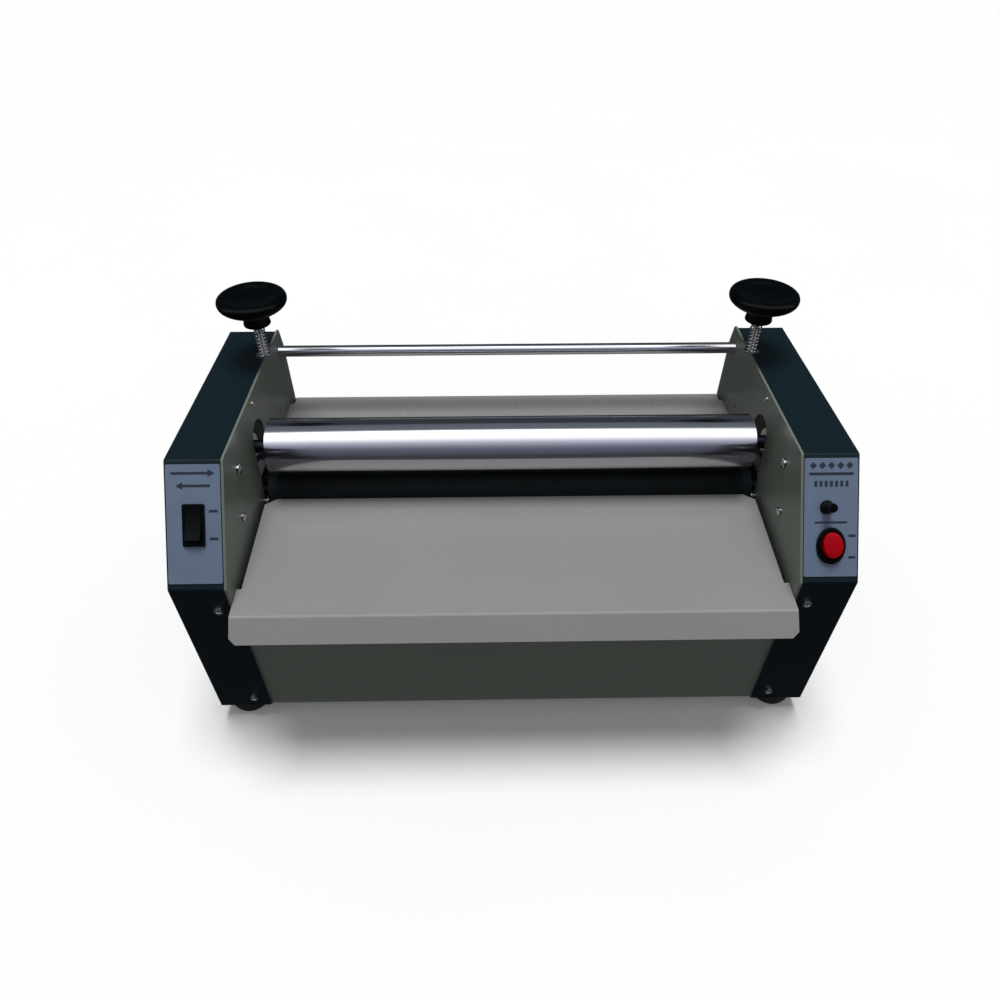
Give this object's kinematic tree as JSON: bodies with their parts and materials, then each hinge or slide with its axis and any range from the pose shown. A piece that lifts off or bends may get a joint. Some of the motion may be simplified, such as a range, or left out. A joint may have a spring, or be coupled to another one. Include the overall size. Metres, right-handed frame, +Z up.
{
  "type": "cold roll laminator",
  "caption": "Bench-top cold roll laminator: chrome pressure roller over a driven rubber roller, feed and exit trays, two side housings with controls and knobbed pressure screws.",
  "frame": {"origin": "middle of the machine in plan, on the surface that the feet stand on", "axes": "+X along the rollers to the right-hand housing, +Y from the feed side to the exit side, +Z up"},
  "size_m": [0.5312, 0.2946, 0.3102],
  "materials": {
    "beige_paint": "satin powder paint",
    "plate_paint": "glossy grey-green paint",
    "navy_paint": "satin powder paint",
    "plated_steel": "zinc plated",
    "dark_steel": "blackened",
    "chrome": "polished chrome",
    "rubber": "matt",
    "roller_rubber": "fine ground rubber",
    "screw_steel": "bright",
    "spring_steel": "bright wire",
    "label_print": "printed film",
    "label_ink": "printed marks",
    "gear_plastic": "acetal",
    "gear_brass": "machined",
    "motor_paint": "satin",
    "cast_aluminium": "cast",
    "black_paint": "satin",
    "black_plastic": "semi gloss",
    "red_plastic": "gloss",
    "board_green": "circuit board"
  },
  "bodies": {
    "frame": {"left_side_plate": "plate_paint", "right_side_plate": "plate_paint", "left_cover": "navy_paint", "right_cover": "navy_paint", "front_tray": "beige_paint", "rear_tray": "beige_paint", "front_apron": "plate_paint", "rear_apron": "plate_paint", "base_plate": "plated_steel", "rear_tie_rod": "chrome", "lower_tie_rods": "plated_steel", "tray_spacers": "dark_steel", "feet": "rubber", "foot_screws": "screw_steel", "plate_screws": "screw_steel", "cover_screws": "screw_steel", "left_label_plate": "label_print", "right_label_plate": "label_print", "left_label_marks": "label_ink", "right_label_marks": "label_ink", "lower_bearings": "screw_steel", "lower_bearing_blocks": "plated_steel", "motor_can": "motor_paint", "gearbox": "cast_aluminium", "motor_screws": "screw_steel", "arm_pivot_bolts": "screw_steel", "left_nut_block": "plated_steel", "right_nut_block": "plated_steel", "left_spring": "spring_steel", "right_spring": "spring_steel", "reverse_switch_body": "black_plastic", "power_switch_body": "black_plastic", "speed_control_body": "dark_steel", "transformer": "motor_paint", "control_board": "board_green", "power_cord_gland": "black_plastic"},
    "lower_roller": {"lower_roller_core": "dark_steel", "lower_roller_sleeve": "roller_rubber", "drive_gear": "gear_plastic"},
    "motor_output": {"motor_output_shaft": "screw_steel", "motor_pinion": "gear_brass"},
    "pressure_arms": {"left_pressure_arm": "black_paint", "right_pressure_arm": "black_paint", "upper_bearings": "screw_steel"},
    "upper_roller": {"upper_roller_tube": "chrome", "upper_roller_shaft": "dark_steel"},
    "left_pad": {"left_thrust_pad": "screw_steel"},
    "right_pad": {"right_thrust_pad": "screw_steel"},
    "left_screw_and_knob": {"left_screw": "screw_steel", "left_knob": "black_plastic"},
    "right_screw_and_knob": {"right_screw": "screw_steel", "right_knob": "black_plastic"},
    "reverse_rocker": {"reverse_rocker": "black_plastic"},
    "power_rocker": {"power_rocker": "red_plastic"},
    "speed_knob": {"speed_control_knob": "black_plastic"}
  },
  "joints": [
    {"name": "lower_roller_spin", "type": "hinge", "parent": "frame", "child": "lower_roller", "pos_m": [0, 0.01389, 0.162], "axis": [1, 0, 0], "continuous": true},
    {"name": "motor_output_spin", "type": "hinge", "parent": "frame", "child": "motor_output", "pos_m": [0, 0.01389, 0.102], "axis": [1, 0, 0], "continuous": true},
    {"name": "pressure_arm_lift", "type": "hinge", "parent": "frame", "child": "pressure_arms", "pos_m": [0, -0.03611, 0.228], "axis": [1, 0, 0], "range_deg": [0, 2.53]},
    {"name": "upper_roller_spin", "type": "hinge", "parent": "pressure_arms", "child": "upper_roller", "pos_m": [0, 0.01389, 0.21135], "axis": [1, 0, 0], "continuous": true},
    {"name": "left_screw_rise", "type": "slide", "parent": "frame", "child": "left_pad", "axis": [0, 0, 1], "range_m": [0, 0.006], "deforming": ["left_spring"]},
    {"name": "left_knob_turn", "type": "hinge", "parent": "left_pad", "child": "left_screw_and_knob", "pos_m": [-0.2236, 0.09989, 0.244], "axis": [0, 0, 1], "range_deg": [0, 2160]},
    {"name": "right_screw_rise", "type": "slide", "parent": "frame", "child": "right_pad", "axis": [0, 0, 1], "range_m": [0, 0.006], "deforming": ["right_spring"]},
    {"name": "right_knob_turn", "type": "hinge", "parent": "right_pad", "child": "right_screw_and_knob", "pos_m": [0.2236, 0.09989, 0.244], "axis": [0, 0, 1], "range_deg": [0, 2160]},
    {"name": "reverse_rocker_tilt", "type": "hinge", "parent": "frame", "child": "reverse_rocker", "pos_m": [-0.2435, -0.08644, 0.21423], "axis": [1, 0, 0], "range_deg": [0, 18]},
    {"name": "power_rocker_tilt", "type": "hinge", "parent": "frame", "child": "power_rocker", "pos_m": [0.2434, -0.0998, 0.19802], "axis": [1, 0, 0], "range_deg": [0, 18]},
    {"name": "speed_knob_turn", "type": "hinge", "parent": "frame", "child": "speed_knob", "pos_m": [0.2404, -0.08097, 0.22087], "axis": [0, -0.7717, 0.636], "range_deg": [-300, 0]}
  ],
  "couplings": [
    {"joint": "upper_roller_spin", "follows": "lower_roller_spin", "ratio": -1},
    {"joint": "motor_output_spin", "follows": "lower_roller_spin", "ratio": -3},
    {"joint": "left_screw_rise", "follows": "left_knob_turn", "m_per_rad": 0.00015915},
    {"joint": "right_knob_turn", "follows": "left_knob_turn", "ratio": 1},
    {"joint": "right_screw_rise", "follows": "left_knob_turn", "m_per_rad": 0.00015915},
    {"joint": "pressure_arm_lift", "follows": "left_knob_turn", "ratio": 0.0011703}
  ]
}
